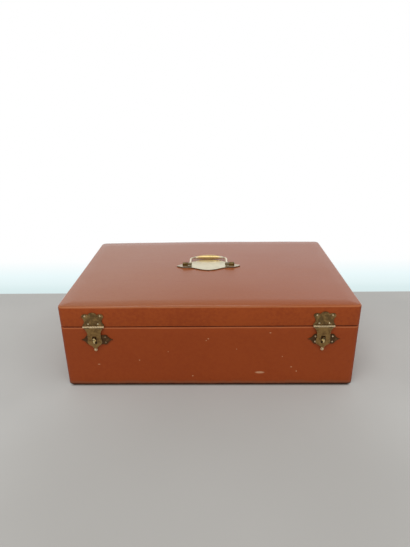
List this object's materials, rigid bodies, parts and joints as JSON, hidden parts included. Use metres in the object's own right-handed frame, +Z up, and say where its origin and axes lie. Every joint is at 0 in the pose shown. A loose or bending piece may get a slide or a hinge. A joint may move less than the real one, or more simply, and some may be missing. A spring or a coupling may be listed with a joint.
{
  "type": "flatware case",
  "caption": "Leather-covered wooden case for flatware with a hinged lid, two hasp latches with turn buttons, a folding carrying handle and notched velvet racks.",
  "frame": {"origin": "middle of the underside of the base, on the surface that the case stands on", "axes": "+X to the right and +Y to the back as seen from the latches, +Z up"},
  "size_m": [0.43, 0.2986, 0.142],
  "materials": {
    "wood": "planed poplar",
    "leather": "fine-grained, reddish tan, rubbed at the edges",
    "bottom_cloth": "book cloth",
    "velvet": "short-pile velvet",
    "aged_brass": "tarnished",
    "polished_brass": "polished",
    "steel": "bright"
  },
  "bodies": {
    "base": {"base_front_board": "wood", "base_back_board": "wood", "base_left_board": "wood", "base_right_board": "wood", "base_bottom_board": "wood", "base_leather_wrap": "leather", "base_bottom_cover": "bottom_cloth", "base_wall_lining": "velvet", "base_floor_lining": "velvet", "rack_rail_front": "velvet", "rack_rail_back": "velvet", "compartment_partition": "velvet", "catch_plate_left": "aged_brass", "catch_plate_right": "aged_brass", "catch_plate_nails": "aged_brass", "hinge_base_leaf_left": "aged_brass", "hinge_base_leaf_right": "aged_brass", "hinge_pin_left": "steel", "hinge_pin_right": "steel", "hinge_base_screws": "aged_brass"},
    "button_left": {"turn_button_left": "polished_brass"},
    "button_right": {"turn_button_right": "polished_brass"},
    "lid": {"lid_front_board": "wood", "lid_back_board": "wood", "lid_left_board": "wood", "lid_right_board": "wood", "lid_top_panel": "wood", "lid_leather_wrap": "leather", "lid_wall_lining": "velvet", "lid_top_lining": "velvet", "hinge_lid_leaf_left": "aged_brass", "hinge_lid_leaf_right": "aged_brass", "hinge_lid_screws": "aged_brass", "hasp_plate_left": "aged_brass", "hasp_plate_right": "aged_brass", "hasp_plate_nails": "aged_brass", "hasp_pin_left": "steel", "hasp_pin_right": "steel", "handle_plate": "polished_brass", "handle_boss_left": "polished_brass", "handle_boss_right": "polished_brass", "handle_washers": "steel", "handle_nuts": "steel"},
    "hasp_left": {"hasp_leaf_left": "aged_brass"},
    "hasp_right": {"hasp_leaf_right": "aged_brass"},
    "handle": {"handle_bail": "polished_brass"}
  },
  "joints": [
    {"name": "lid_hinge", "type": "hinge", "parent": "base", "child": "lid", "pos_m": [0, 0.1443, 0.09955], "axis": [-1, 0, 0], "range_deg": [0, 95]},
    {"name": "hasp_left_swing", "type": "hinge", "parent": "lid", "child": "hasp_left", "pos_m": [-0.165, -0.1427, 0.10045], "axis": [-1, 0, 0], "range_deg": [0, 150]},
    {"name": "hasp_right_swing", "type": "hinge", "parent": "lid", "child": "hasp_right", "pos_m": [0.163, -0.1427, 0.10045], "axis": [-1, 0, 0], "range_deg": [0, 150]},
    {"name": "button_left_turn", "type": "hinge", "parent": "base", "child": "button_left", "pos_m": [-0.165, -0.141, 0.0796], "axis": [0, -1, 0], "range_deg": [-90, 90]},
    {"name": "button_right_turn", "type": "hinge", "parent": "base", "child": "button_right", "pos_m": [0.163, -0.141, 0.0796], "axis": [0, -1, 0], "range_deg": [-90, 90]},
    {"name": "handle_swing", "type": "hinge", "parent": "lid", "child": "handle", "pos_m": [-0.0015, 0.0055, 0.1384], "axis": [1, 0, 0], "range_deg": [0, 180]}
  ]
}
